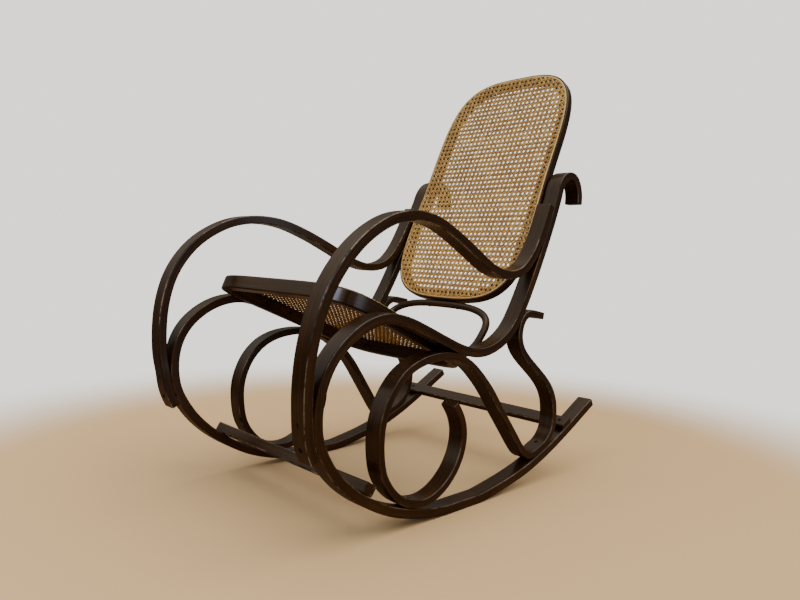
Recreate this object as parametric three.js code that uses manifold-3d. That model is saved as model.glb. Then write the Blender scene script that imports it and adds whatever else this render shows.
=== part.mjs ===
// Bentwood rocking chair: two bent-strip side frames, caned seat and back rings,
// a hoop between them and two crossbars, held together by countersunk screws.
// Millimetres, +Z up, the sitter faces -Y, the sitter's left is +X.
import * as THREE from 'three';
import Module from 'manifold-3d';
import { mergeGeometries, mergeVertices } from 'three/addons/utils/BufferGeometryUtils.js';

const wasm = await Module();
wasm.setup();

// Side frames
const SIDE_LENGTH = 800; // length that the side profile's forward and rearward shares count in
const SIDE_HEIGHT = 673; // floor to the top of the hooks behind the backrest
const HALF_WIDTH = 270; // middle of the chair to the outer face of the arms where they are widest
const STRIP_WIDTH = 36; // across every bent strip
const BOW_THICKNESS = 18;
const ARM_THICKNESS = 18;
const SCROLL_THICKNESS = 15;
const STRIP_EDGE = 1.6; // eased edges of the strips and bars
const STATION_STEP = 80; // longest straight facet of a strip
const STATION_TURN = 11; // degrees of bend that one facet may take

// Crossbars between the rockers
const FRONT_BAR_WIDTH = 25;
const FRONT_BAR_THICKNESS = 21;
const REAR_BAR_WIDTH = 31;
const REAR_BAR_THICKNESS = 13;

// Seat ring
const SEAT_TILT = 24.2; // degrees, front high
const SEAT_HALF_LENGTH = 203;
const SEAT_RING_HEIGHT = 28;
const SEAT_WALL = 21;
const SEAT_EXPONENT = 5.3; // squareness of the ring's outline

// Back ring
const BACK_RAKE = 25.17; // degrees from upright
const BACK_HALF_HEIGHT = 303;
const BACK_RING_DEPTH = 20.5;
const BACK_WALL = 24;
const BACK_EXPONENT = 3.2;

const RING_EDGE = 2; // eased edges of both rings
const RING_STATIONS = 40;

// Cane panels and the splines that hold them in their grooves
const CANE_THICKNESS = 1.6;
const CANE_PITCH = 36; // spacing of the openings in the plain net that stands for the cane
const CANE_STRAND = 12; // width left between two openings
const SPLINE_WIDTH = 4.5;
const SPLINE_HEIGHT = 6;
const GROOVE_DEPTH = 4.4;
const GROOVE_INSET = 3.6; // outer edge of the ring to the groove

// Hoop between seat and backrest
const HOOP_HALF_WIDTH = 156;
const HOOP_DIAMETER = 16;
const HOOP_EXPONENT = 3;
const HOOP_STATIONS = 36;
const HOOP_SIDES = 8;

// Countersunk wood screws
const SCREW_HEAD_RADIUS = 4.6;
const SCREW_HEAD_HEIGHT = 3;
const SCREW_SHANK_RADIUS = 2.3;
const SCREW_BITE = 11; // length in the second piece
const SCREW_SIDE_BITE = 20; // length in the edge of a strip
const SCREW_SIDES = 8;

const CLEARANCE = 0.3; // between pieces that seat on each other
const OVERRUN = 4; // of a cut past the face that it starts on

// How finely curves are measured and fitted
const FINE_STEPS = 400;
const PRESS_PASSES = 8;
const SLACK_SHARE = 0.4;
const FIT_TRIALS = 24;

// Side profile, hand-bent curves: rearward from the point on the floor, up, and outward to the
// strip's outer face, as shares of SIDE_LENGTH, SIDE_HEIGHT and HALF_WIDTH.
// The bow runs from the rocker's rear tip along the floor, up the front, back as seat rail,
// and up as back stile.
const BOW_SHARES = [
  [0.537, 0.221, 0.944],
  [0.421, 0.149, 0.939],
  [0.329, 0.097, 0.934],
  [0.244, 0.059, 0.929],
  [0.164, 0.035, 0.923],
  [0.096, 0.0205, 0.919],
  [0.056, 0.0134, 0.916],
  [-0.054, 0.0134, 0.912],
  [-0.119, 0.022, 0.911],
  [-0.182, 0.039, 0.911],
  [-0.241, 0.063, 0.914],
  [-0.299, 0.099, 0.919],
  [-0.356, 0.146, 0.929],
  [-0.401, 0.199, 0.94],
  [-0.432, 0.254, 0.953],
  [-0.448, 0.3, 0.963],
  [-0.453, 0.345, 0.972],
  [-0.451, 0.389, 0.98],
  [-0.441, 0.435, 0.986],
  [-0.42, 0.48, 0.988],
  [-0.385, 0.52, 0.987],
  [-0.334, 0.553, 0.979],
  [-0.275, 0.566, 0.964],
  [-0.21, 0.552, 0.943],
  [-0.141, 0.521, 0.921],
  [-0.068, 0.484, 0.903],
  [-0.007, 0.456, 0.89],
  [0.051, 0.441, 0.88],
  [0.106, 0.447, 0.873],
  [0.156, 0.47, 0.868],
  [0.196, 0.505, 0.863],
  [0.231, 0.562, 0.861],
  [0.271, 0.642, 0.858],
  [0.31, 0.73, 0.855],
  [0.349, 0.822, 0.849],
  [0.384, 0.911, 0.84],
  [0.398, 0.951, 0.835],
  [0.418, 0.977, 0.828],
  [0.447, 0.987, 0.822],
  [0.473, 0.981, 0.817],
  [0.49, 0.958, 0.816],
  [0.496, 0.929, 0.818],
  [0.495, 0.897, 0.82],
];
// The arm's free stretch, from where it leaves the bow's front to where it meets the stile.
const ARM_SHARES = [
  [-0.481, 0.392, 0.99],
  [-0.482, 0.431, 0.999],
  [-0.48, 0.483, 1.01],
  [-0.474, 0.535, 1.022],
  [-0.463, 0.588, 1.032],
  [-0.445, 0.642, 1.041],
  [-0.417, 0.694, 1.046],
  [-0.38, 0.741, 1.044],
  [-0.333, 0.78, 1.034],
  [-0.274, 0.81, 1.017],
  [-0.204, 0.821, 0.989],
  [-0.133, 0.811, 0.958],
  [-0.054, 0.776, 0.924],
  [0.029, 0.727, 0.893],
  [0.101, 0.683, 0.874],
  [0.168, 0.664, 0.863],
  [0.229, 0.678, 0.858],
  [0.272, 0.722, 0.856],
];
// The scroll runs from its free end round the loop on the rocker, over the arch under the seat rail,
// down to the rocker's rear, up round the rear strand and over the back of the stile.
const SCROLL_SHARES = [
  [-0.032, 0.305, 0.888],
  [-0.009, 0.263, 0.888],
  [0, 0.217, 0.891],
  [-0.01, 0.16, 0.895],
  [-0.04, 0.11, 0.901],
  [-0.085, 0.074, 0.905],
  [-0.136, 0.061, 0.907],
  [-0.188, 0.073, 0.909],
  [-0.233, 0.108, 0.911],
  [-0.263, 0.159, 0.914],
  [-0.274, 0.223, 0.917],
  [-0.273, 0.282, 0.92],
  [-0.261, 0.331, 0.921],
  [-0.239, 0.376, 0.921],
  [-0.204, 0.415, 0.917],
  [-0.159, 0.438, 0.912],
  [-0.106, 0.447, 0.904],
  [-0.056, 0.444, 0.896],
  [-0.019, 0.433, 0.889],
  [0.025, 0.406, 0.882],
  [0.059, 0.374, 0.879],
  [0.101, 0.322, 0.88],
  [0.144, 0.251, 0.887],
  [0.19, 0.174, 0.902],
  [0.2175, 0.128, 0.911],
  [0.234, 0.106, 0.917],
  [0.25, 0.0966, 0.921],
  [0.27, 0.0981, 0.925],
  [0.294, 0.1085, 0.927],
  [0.315, 0.118, 0.928],
  [0.335, 0.134, 0.927],
  [0.351, 0.1575, 0.924],
  [0.361, 0.19, 0.918],
  [0.363, 0.208, 0.914],
  [0.363, 0.247, 0.906],
  [0.351, 0.288, 0.896],
  [0.326, 0.325, 0.886],
  [0.289, 0.364, 0.877],
  [0.25, 0.404, 0.871],
  [0.228, 0.435, 0.868],
  [0.219, 0.464, 0.865],
  [0.219, 0.489, 0.863],
  [0.228, 0.517, 0.861],
  [0.244, 0.535, 0.858],
  [0.266, 0.542, 0.857],
  [0.294, 0.537, 0.856],
  [0.323, 0.53, 0.856],
];
// The rocker rests on one facet between these two points of the bow's table.
const REST_POINTS = [6, 7];
// Where pieces meet, as shares of a strip's table of points from its start to its end.
const ARM_FOOT_SHARES = [0.335, 0.381];
const ARM_END_SHARES = [0.8, 0.823];
const FOOT_SCREW_SHARES = [0.351, 0.377];
const END_SCREW_SHARE = 0.813;
const FRONT_BAR_SHARE = 0.271;
const REAR_BAR_SHARE = 0.024;
const SCROLL_FRONT_SHARES = [0.065, 0.196];
const SCROLL_RAIL_SHARES = [0.326, 0.457];
const SCROLL_REAR_SHARES = [0.52, 0.675];
const SCROLL_STILE_SHARES = [0.804, 0.978];

// Rings: places as shares of SIDE_LENGTH, SIDE_HEIGHT, the ring's half-length and half-width
const SEAT_CENTRE_SHARES = [-0.136, 0.489];
const SEAT_FLARE_SHARES = [-0.118, 0.02]; // wider towards the front
const SEAT_RAIL_SHARES = [-0.62, 0.3]; // stretch of the ring that lies between the rails
const SEAT_SCREW_SHARES = [-0.34, -0.04];
const BACK_CENTRE_SHARES = [0.387, 0.9727];
const BACK_FLARE_SHARES = [-0.036, 0.17]; // narrower towards the top, and waisted between the stiles
const BACK_STILE_SHARES = [-0.8, 0.08]; // stretch of the ring that lies between the stiles
const BACK_SCREW_SHARES = [-0.4, -0.1];
const HOOP_FOOT_SHARE = 0.62; // of the seat ring's height
const HOOP_HEAD_SHARE = 0.5; // of the back ring's depth
const HOOP_SCREW_SHARE = 0.28; // of the hoop's half-width

const wood = new THREE.MeshStandardMaterial({ color: 0x3a2012, roughness: 0.3, metalness: 0 });
const cane = new THREE.MeshStandardMaterial({ color: 0xc8a368, roughness: 0.6, metalness: 0 });
const reed = new THREE.MeshStandardMaterial({ color: 0xa87c42, roughness: 0.5, metalness: 0 });
const steel = new THREE.MeshStandardMaterial({ color: 0x2a2725, roughness: 0.45, metalness: 0.8 });

const chair = new THREE.Group();

function addMesh(name, geometry, material) {
  const mesh = new THREE.Mesh(geometry, material);
  mesh.name = name;
  chair.add(mesh);
  return mesh;
}

// Closed bodies swept through rings of points
function closedBody(rings, isLoop) {
  const count = rings[0].length;
  const positions = rings.flat().flatMap((point) => [point.x, point.y, point.z]);
  let triangles = [];
  const last = isLoop ? rings.length : rings.length - 1;
  for (let i = 0; i < last; i++) {
    const here = i * count;
    const next = ((i + 1) % rings.length) * count;
    for (let j = 0; j < count; j++) {
      const k = (j + 1) % count;
      triangles.push([here + j, next + j, next + k], [here + j, next + k, here + k]);
    }
  }
  if (!isLoop) {
    const end = (rings.length - 1) * count;
    for (let j = 1; j < count - 1; j++) {
      triangles.push([0, j, j + 1], [end, end + j + 1, end + j]);
    }
  }
  const corner = (index) => new THREE.Vector3().fromArray(positions, index * 3);
  const volume = triangles.reduce(
    (sum, [a, b, c]) => sum + corner(a).dot(corner(b).cross(corner(c))),
    0,
  );
  if (volume < 0) triangles = triangles.map(([a, b, c]) => [a, c, b]);
  const geometry = new THREE.BufferGeometry();
  geometry.setAttribute('position', new THREE.Float32BufferAttribute(positions, 3));
  geometry.setIndex(triangles.flat());
  return geometry;
}

function mirrored(geometry) {
  const copy = geometry.clone().applyMatrix4(new THREE.Matrix4().makeScale(-1, 1, 1));
  const index = copy.index.array;
  for (let i = 0; i < index.length; i += 3) {
    [index[i + 1], index[i + 2]] = [index[i + 2], index[i + 1]];
  }
  return copy;
}

function toSolid(geometry) {
  const bare = geometry.clone();
  bare.deleteAttribute('normal');
  bare.deleteAttribute('uv');
  const merged = mergeVertices(bare);
  const mesh = new wasm.Mesh({
    numProp: 3,
    vertProperties: new Float32Array(merged.attributes.position.array),
    triVerts: new Uint32Array(merged.index.array),
  });
  return new wasm.Manifold(mesh);
}

function bored(geometry, cutters) {
  let solid = toSolid(geometry);
  cutters.forEach((cutter) => {
    solid = solid.subtract(toSolid(cutter));
  });
  const mesh = solid.getMesh();
  const result = new THREE.BufferGeometry();
  result.setAttribute('position', new THREE.Float32BufferAttribute(mesh.vertProperties, 3));
  result.setIndex(Array.from(mesh.triVerts));
  return result;
}

// A rectangle with eased corners, as [across, through] pairs
function easedRectangle(left, right, bottom, top, edge) {
  return [
    [left + edge, bottom],
    [right - edge, bottom],
    [right, bottom + edge],
    [right, top - edge],
    [right - edge, top],
    [left + edge, top],
    [left, top - edge],
    [left, bottom + edge],
  ];
}

// Bent strips: each station holds the strip's outer face in x and its middle line in y and z
function curveThrough(points) {
  return new THREE.CatmullRomCurve3(points, false, 'centripetal');
}

function fromShares(shares) {
  return shares.map(
    ([back, up, out]) => new THREE.Vector3(out * HALF_WIDTH, back * SIDE_LENGTH, up * SIDE_HEIGHT),
  );
}

const turn = THREE.MathUtils.degToRad(STATION_TURN);

// Stations at even shares of length and bend between the curve's stops
function stationsOf(curve, stops) {
  const result = [curve.getPoint(stops[0])];
  for (let s = 1; s < stops.length; s++) {
    const [from, to] = [stops[s - 1], stops[s]];
    const count = Math.ceil((to - from) * FINE_STEPS) + 1;
    const at = (i) => curve.getPoint(from + ((to - from) * i) / count);
    const loads = [0];
    for (let i = 1; i <= count; i++) {
      const before = at(Math.max(i - 2, 0));
      const middle = at(i - 1);
      const after = at(i);
      const bend = i > 1 ? after.clone().sub(middle).angleTo(middle.clone().sub(before)) : 0;
      loads.push(loads[i - 1] + after.distanceTo(middle) / STATION_STEP + bend / turn);
    }
    const facets = Math.ceil(loads[count]);
    for (let j = 1; j <= facets; j++) {
      const wanted = (loads[count] * j) / facets;
      const i = Math.max(loads.findIndex((load) => load >= wanted - Number.EPSILON * count), 1);
      const part = j === facets ? 0 : (loads[i] - wanted) / (loads[i] - loads[i - 1]);
      result.push(curve.getPoint(from + ((to - from) * (j === facets ? count : i - part)) / count));
    }
  }
  return result;
}

function sideOf(direction) {
  return new THREE.Vector3(0, -direction.z, direction.y).normalize();
}

function flat(vector) {
  return new THREE.Vector3(0, vector.y, vector.z).normalize();
}

// Offset of a path in the side view, on the bow: outward, which is down, forward, up and forward in turn
function normalAt(path, i) {
  const before = i > 0 ? flat(path[i].clone().sub(path[i - 1])) : null;
  const after = i < path.length - 1 ? flat(path[i + 1].clone().sub(path[i])) : null;
  const a = before ?? after;
  const b = after ?? before;
  const normal = sideOf(a.clone().add(b));
  return normal.divideScalar(normal.dot(sideOf(a)));
}

function offsetPath(path, distance) {
  return path.map((point, i) => point.clone().addScaledVector(normalAt(path, i), distance));
}

function stripGeometry(path, thickness) {
  const half = thickness / 2;
  const section = easedRectangle(-STRIP_WIDTH, 0, -half, half, STRIP_EDGE);
  const rings = path.map((point, i) => {
    const normal = normalAt(path, i);
    return section.map(([across, through]) =>
      point.clone().addScaledVector(normal, through).add(new THREE.Vector3(across, 0, 0)),
    );
  });
  return closedBody(rings, false);
}

function nearestOn(path, point) {
  let best = { distance: Infinity };
  for (let i = 0; i < path.length - 1; i++) {
    const start = new THREE.Vector3(0, path[i].y, path[i].z);
    const end = new THREE.Vector3(0, path[i + 1].y, path[i + 1].z);
    const line = new THREE.Line3(start, end);
    const target = new THREE.Vector3(0, point.y, point.z);
    const foot = line.closestPointToPoint(target, true, new THREE.Vector3());
    const distance = foot.distanceTo(target);
    if (distance < best.distance) {
      const part = line.closestPointToPointParameter(target, true);
      const outerX = THREE.MathUtils.lerp(path[i].x, path[i + 1].x, part);
      best = { distance, foot, outerX, away: target.clone().sub(foot).normalize() };
    }
  }
  return best;
}

// The stations nearest to two places on a strip's curve
function stretchOf(path, curve, shares) {
  return shares.map((share) => {
    const place = curve.getPoint(share);
    const distances = path.map((point) => point.distanceTo(place));
    return distances.indexOf(Math.min(...distances));
  });
}

// Springs a stretch of a strip against another strip, as the screw there does
function pressed(path, curve, other, reach, shares) {
  const [first, last] = stretchOf(path, curve, shares);
  const weight = (i) => Math.sin((Math.PI * (i - first)) / (last - first)) ** 2;
  let contact = null;
  for (let pass = 0; pass < PRESS_PASSES; pass++) {
    contact = { distance: Infinity };
    for (let i = first; i <= last; i++) {
      const near = nearestOn(other, path[i]);
      if (near.distance < contact.distance) {
        contact = { ...near, station: path[i].clone(), weight: weight(i) };
      }
    }
    const stretch = path.slice(first, last + 1);
    other.forEach((point) => {
      const near = nearestOn(stretch, point);
      if (near.distance < contact.distance) {
        const i = path.findIndex((station) => station.y === nearestStation(stretch, near.foot).y);
        const station = near.foot.clone().setX(path[i].x);
        contact = { ...near, away: near.away.negate(), foot: point, station, weight: weight(i) };
      }
    });
    const shift = (reach - contact.distance) / Math.max(contact.weight, SLACK_SHARE);
    for (let i = first; i <= last; i++) path[i].addScaledVector(contact.away, shift * weight(i));
  }
  return contact;
}

function nearestStation(stretch, point) {
  return stretch.reduce((best, station) =>
    Math.hypot(station.y - point.y, station.z - point.z) < Math.hypot(best.y - point.y, best.z - point.z)
      ? station
      : best,
  );
}

// Countersunk screws, with the axis pointing out of the head
function screwProfile(length, clearance) {
  const points = [
    [0, -length - clearance],
    [SCREW_SHANK_RADIUS + clearance, -length - clearance],
    [SCREW_SHANK_RADIUS + clearance, -SCREW_HEAD_HEIGHT - clearance],
    [SCREW_HEAD_RADIUS + clearance, 0],
  ];
  if (clearance > 0) points.push([SCREW_HEAD_RADIUS + clearance, OVERRUN], [0, OVERRUN]);
  else points.push([0, 0]);
  return points.map(([radius, height]) => new THREE.Vector2(radius, height));
}

function lathed(length, clearance) {
  const geometry = new THREE.LatheGeometry(screwProfile(length, clearance), SCREW_SIDES);
  geometry.deleteAttribute('normal');
  geometry.deleteAttribute('uv');
  return mergeVertices(geometry);
}

const cuts = new Map();

// Adds a screw and leaves its hole to be bored in the named pieces
function addScrew(name, head, outward, length, pieces) {
  const mesh = addMesh(name, lathed(length, 0), steel);
  mesh.position.copy(head);
  mesh.quaternion.setFromUnitVectors(new THREE.Vector3(0, 1, 0), outward.clone().normalize());
  mesh.updateMatrix();
  const cutter = lathed(length, CLEARANCE).applyMatrix4(mesh.matrix);
  pieces.forEach((piece) => cuts.set(piece, [...(cuts.get(piece) ?? []), cutter]));
}

const acrossX = new THREE.Vector3(-1, 1, 1);

// The same screw on both sides: left as given and right mirrored. A sided piece goes by its
// name with _left or _right, and a shared one by its own name.
function addScrewPair(name, head, outward, length, sided, shared = []) {
  const pieces = (side) => [...sided.map((piece) => `${piece}_${side}`), ...shared];
  addScrew(`${name}_left`, head, outward, length, pieces('left'));
  addScrew(
    `${name}_right`,
    head.clone().multiply(acrossX),
    outward.clone().multiply(acrossX),
    length,
    pieces('right'),
  );
}

// Paths of the bow, the arm and the scroll
const bowCurve = curveThrough(fromShares(BOW_SHARES));
const [restFrom, restTo] = REST_POINTS.map((index) => index / (BOW_SHARES.length - 1));
const bow = [
  ...stationsOf(bowCurve, [0, restFrom]),
  ...stationsOf(bowCurve, [restTo, ...ARM_FOOT_SHARES, ...ARM_END_SHARES, 1]),
];
const laminate = (BOW_THICKNESS + ARM_THICKNESS) / 2 + CLEARANCE;
const bowOuter = offsetPath(bow, laminate);

const [footStart, footEnd] = stretchOf(bow, bowCurve, ARM_FOOT_SHARES);
const [endStart, endEnd] = stretchOf(bow, bowCurve, ARM_END_SHARES);
const armFoot = bowOuter.slice(footStart, footEnd + 1);
const armEnd = bowOuter.slice(endStart, endEnd + 1);
const armPoints = [...armFoot.slice(-2), ...fromShares(ARM_SHARES), ...armEnd.slice(0, 2)];
const armCurve = curveThrough(armPoints);
const armSteps = armPoints.length - 1;
const armFree = stationsOf(armCurve, [1 / armSteps, (armSteps - 1) / armSteps]);
const arm = [...armFoot.slice(0, -1), ...armFree, ...armEnd.slice(1)];

const scrollCurve = curveThrough(fromShares(SCROLL_SHARES));
const scroll = stationsOf(scrollCurve, [0, 1]);
const scrollReach = (BOW_THICKNESS + SCROLL_THICKNESS) / 2 + CLEARANCE;
const scrollContacts = [
  ['scroll_front_screw', pressed(scroll, scrollCurve, bow, scrollReach, SCROLL_FRONT_SHARES)],
  ['scroll_rail_screw', pressed(scroll, scrollCurve, bow, scrollReach, SCROLL_RAIL_SHARES)],
  ['scroll_rear_screw', pressed(scroll, scrollCurve, bow, scrollReach, SCROLL_REAR_SHARES)],
  ['scroll_stile_screw', pressed(scroll, scrollCurve, bow, scrollReach, SCROLL_STILE_SHARES)],
];

const solids = new Map();
const materials = new Map();

function addPiece(name, geometry, material) {
  solids.set(name, geometry);
  materials.set(name, material);
}

function addPiecePair(name, geometry) {
  addPiece(`${name}_left`, geometry, wood);
  addPiece(`${name}_right`, mirrored(geometry), wood);
}

addPiecePair('main_bow', stripGeometry(bow, BOW_THICKNESS));
addPiecePair('arm_bow', stripGeometry(arm, ARM_THICKNESS));
addPiecePair('scroll', stripGeometry(scroll, SCROLL_THICKNESS));

// Place on the bow's middle line, halfway across the strip, and the outward direction there
function onBow(share) {
  const point = bowCurve.getPoint(share);
  const outward = sideOf(flat(bowCurve.getTangent(share)));
  return { point: point.clone().setX(point.x - STRIP_WIDTH / 2), outward, outerX: point.x };
}

FOOT_SCREW_SHARES.forEach((share, i) => {
  const { point, outward } = onBow(share);
  const head = point.clone().addScaledVector(outward, BOW_THICKNESS / 2 + CLEARANCE + ARM_THICKNESS);
  const length = ARM_THICKNESS + CLEARANCE + SCREW_BITE;
  addScrewPair(`arm_foot_screw_${i + 1}`, head, outward, length, ['arm_bow', 'main_bow']);
});
{
  const { point, outward } = onBow(END_SCREW_SHARE);
  const head = point.clone().addScaledVector(outward, -BOW_THICKNESS / 2);
  const length = BOW_THICKNESS + CLEARANCE + SCREW_BITE;
  addScrewPair('arm_end_screw', head, outward.clone().negate(), length, ['arm_bow', 'main_bow']);
}
scrollContacts.forEach(([name, contact]) => {
  const middle = contact.station.clone().setX(contact.station.x - STRIP_WIDTH / 2);
  const head = middle.addScaledVector(contact.away, SCROLL_THICKNESS / 2);
  addScrewPair(name, head, contact.away, SCROLL_THICKNESS + CLEARANCE + SCREW_BITE, ['scroll', 'main_bow']);
});

// Crossbars lie on the rockers' inner faces, with their ends flush with the outer faces
function addCrossbar(name, share, width, thickness) {
  const { point, outward, outerX } = onBow(share);
  const along = new THREE.Vector3(0, outward.z, -outward.y);
  const reach = BOW_THICKNESS / 2 + CLEARANCE;
  const foot = point.clone().setX(0).addScaledVector(outward, -reach);
  for (let pass = 0; pass < PRESS_PASSES; pass++) {
    const edges = [-width / 2, width / 2].map((half) => foot.clone().addScaledVector(along, half));
    const nearest = Math.min(...edges.map((edge) => nearestOn(bow, edge).distance));
    foot.addScaledVector(outward, nearest - reach);
  }
  const section = easedRectangle(-width / 2, width / 2, 0, thickness, STRIP_EDGE);
  const rings = [-outerX, outerX].map((x) =>
    section.map(([across, up]) =>
      foot.clone().setX(x).addScaledVector(along, across).addScaledVector(outward, -up),
    ),
  );
  addPiece(name, closedBody(rings, false), wood);
  const head = foot.clone().setX(point.x).addScaledVector(outward, -thickness);
  const length = thickness + CLEARANCE + SCREW_BITE;
  addScrewPair(`${name}_screw`, head, outward.clone().negate(), length, ['main_bow'], [name]);
}

addCrossbar('front_crossbar', FRONT_BAR_SHARE, FRONT_BAR_WIDTH, FRONT_BAR_THICKNESS);
addCrossbar('rear_crossbar', REAR_BAR_SHARE, REAR_BAR_WIDTH, REAR_BAR_THICKNESS);

// Rings: squared ovals in a tilted plane with axes across, along and up out of the face
function ovalPath(halfWidth, halfLength, exponent, [flare, bulge], count = RING_STATIONS) {
  return Array.from({ length: count }, (_, i) => {
    const angle = (2 * Math.PI * i) / count;
    const [c, s] = [Math.cos(angle), Math.sin(angle)];
    const along = Math.sign(s) * Math.abs(s) ** (2 / exponent);
    const widened = 1 + flare * along + bulge * along * along;
    const across = Math.sign(c) * Math.abs(c) ** (2 / exponent) * widened;
    return new THREE.Vector2(across * halfWidth, along * halfLength);
  });
}

function inset(path, distance) {
  const count = path.length;
  return path.map((point, i) => {
    const before = point.clone().sub(path[(i + count - 1) % count]).normalize();
    const after = path[(i + 1) % count].clone().sub(point).normalize();
    const inward = new THREE.Vector2(-before.y - after.y, before.x + after.x).normalize();
    const mitre = inward.dot(new THREE.Vector2(-before.y, before.x));
    return point.clone().addScaledVector(inward, distance / mitre);
  });
}

function planeOf(origin, along) {
  const across = new THREE.Vector3(1, 0, 0);
  const up = new THREE.Vector3().crossVectors(across, along);
  const at = (x, s, h) =>
    origin.clone().addScaledVector(across, x).addScaledVector(along, s).addScaledVector(up, h);
  const matrix = new THREE.Matrix4().makeBasis(across, along, up).setPosition(origin);
  return { at, along, up, matrix };
}

function ringGeometry(path, section, plane) {
  const lines = section.map(([inward, height]) =>
    inset(path, inward).map((point) => plane.at(point.x, point.y, height)),
  );
  const rings = path.map((_, i) => lines.map((line) => line[i]));
  return closedBody(rings, true);
}

const grooveEnd = GROOVE_INSET + SPLINE_WIDTH + 2 * CLEARANCE;

function groovedSection(wall, height) {
  return [
    [RING_EDGE, 0],
    [wall - RING_EDGE, 0],
    [wall, RING_EDGE],
    [wall, height - RING_EDGE],
    [wall - RING_EDGE, height],
    [grooveEnd, height],
    [grooveEnd, height - GROOVE_DEPTH],
    [GROOVE_INSET, height - GROOVE_DEPTH],
    [GROOVE_INSET, height],
    [RING_EDGE, height],
    [0, height - RING_EDGE],
    [0, RING_EDGE],
  ];
}

// A plain net of square openings, inside the spline's inner edge
function caneGeometry(path, wall, plane, height) {
  const edge = inset(path, grooveEnd + CLEARANCE);
  const opening = inset(path, wall);
  const shape = new THREE.Shape(edge);
  const clear = (x, y) => {
    const half = CANE_PITCH / 2;
    return opening.every((a, i) => {
      const b = opening[(i + 1) % opening.length];
      return [-half, half].every((dx) =>
        [-half, half].every((dy) => (b.x - a.x) * (y + dy - a.y) - (b.y - a.y) * (x + dx - a.x) > 0),
      );
    });
  };
  const hole = CANE_PITCH - CANE_STRAND;
  const reach = Math.ceil(Math.max(...edge.map((point) => Math.max(point.x, point.y))) / CANE_PITCH);
  const openings = [];
  for (let column = -reach; column <= reach; column++) {
    for (let row = -reach; row <= reach; row++) {
      const [x, y] = [column * CANE_PITCH, row * CANE_PITCH];
      if (clear(x, y)) {
        openings.push(new THREE.BoxGeometry(hole, hole, CANE_THICKNESS + 2 * OVERRUN).translate(x, y, 0));
      }
    }
  }
  const sheet = new THREE.ExtrudeGeometry(shape, { depth: CANE_THICKNESS, bevelEnabled: false });
  const net = bored(sheet.translate(0, 0, -CANE_THICKNESS / 2), [mergeGeometries(openings)]);
  return net.translate(0, 0, height + CLEARANCE + CANE_THICKNESS / 2).applyMatrix4(plane.matrix);
}

function splineGeometry(path, plane, height) {
  const left = GROOVE_INSET + CLEARANCE;
  const bottom = height - GROOVE_DEPTH + CLEARANCE;
  const top = bottom + SPLINE_HEIGHT;
  const section = [
    [left, bottom],
    [left + SPLINE_WIDTH, bottom],
    [left + SPLINE_WIDTH, top - SPLINE_WIDTH / 4],
    [left + SPLINE_WIDTH / 2, top],
    [left, top - SPLINE_WIDTH / 4],
  ];
  return ringGeometry(path, section, plane);
}

// The widest ring that still passes between the strips beside it
function fittedHalfWidth(plane, halfLength, exponent, [flare, bulge], [from, to], depth) {
  let width = Infinity;
  for (let i = 0; i <= FIT_TRIALS; i++) {
    const share = from + ((to - from) * i) / FIT_TRIALS;
    const place = share * halfLength;
    const beside = [0, depth].map((height) => nearestOn(bow, plane.at(0, place, height)).outerX);
    const widened = 1 + flare * share + bulge * share * share;
    const form = (1 - Math.abs(share) ** exponent) ** (1 / exponent) * widened;
    width = Math.min(width, (Math.min(...beside) - STRIP_WIDTH - CLEARANCE) / form);
  }
  return width;
}

const seatTilt = THREE.MathUtils.degToRad(SEAT_TILT);
const seatPlane = planeOf(
  new THREE.Vector3(0, SEAT_CENTRE_SHARES[0] * SIDE_LENGTH, SEAT_CENTRE_SHARES[1] * SIDE_HEIGHT),
  new THREE.Vector3(0, Math.cos(seatTilt), -Math.sin(seatTilt)),
);
const seatHalfWidth = fittedHalfWidth(
  seatPlane,
  SEAT_HALF_LENGTH,
  SEAT_EXPONENT,
  SEAT_FLARE_SHARES,
  SEAT_RAIL_SHARES,
  SEAT_RING_HEIGHT,
);
const seatPath = ovalPath(seatHalfWidth, SEAT_HALF_LENGTH, SEAT_EXPONENT, SEAT_FLARE_SHARES);
addPiece('seat_ring', ringGeometry(seatPath, groovedSection(SEAT_WALL, SEAT_RING_HEIGHT), seatPlane), wood);
addPiece('seat_cane', caneGeometry(seatPath, SEAT_WALL, seatPlane, SEAT_RING_HEIGHT), cane);
addPiece('seat_spline', splineGeometry(seatPath, seatPlane, SEAT_RING_HEIGHT), reed);

const backRake = THREE.MathUtils.degToRad(BACK_RAKE);
const backFront = planeOf(
  new THREE.Vector3(0, BACK_CENTRE_SHARES[0] * SIDE_LENGTH, BACK_CENTRE_SHARES[1] * SIDE_HEIGHT),
  new THREE.Vector3(0, Math.sin(backRake), Math.cos(backRake)),
);
const backRear = planeOf(backFront.at(0, 0, -BACK_RING_DEPTH), backFront.along);
const backHalfWidth = fittedHalfWidth(
  backRear,
  BACK_HALF_HEIGHT,
  BACK_EXPONENT,
  BACK_FLARE_SHARES,
  BACK_STILE_SHARES,
  BACK_RING_DEPTH,
);
const backPath = ovalPath(backHalfWidth, BACK_HALF_HEIGHT, BACK_EXPONENT, BACK_FLARE_SHARES);
addPiece('back_ring', ringGeometry(backPath, groovedSection(BACK_WALL, BACK_RING_DEPTH), backRear), wood);
addPiece('back_cane', caneGeometry(backPath, BACK_WALL, backRear, BACK_RING_DEPTH), cane);
addPiece('back_spline', splineGeometry(backPath, backRear, BACK_RING_DEPTH), reed);

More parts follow.
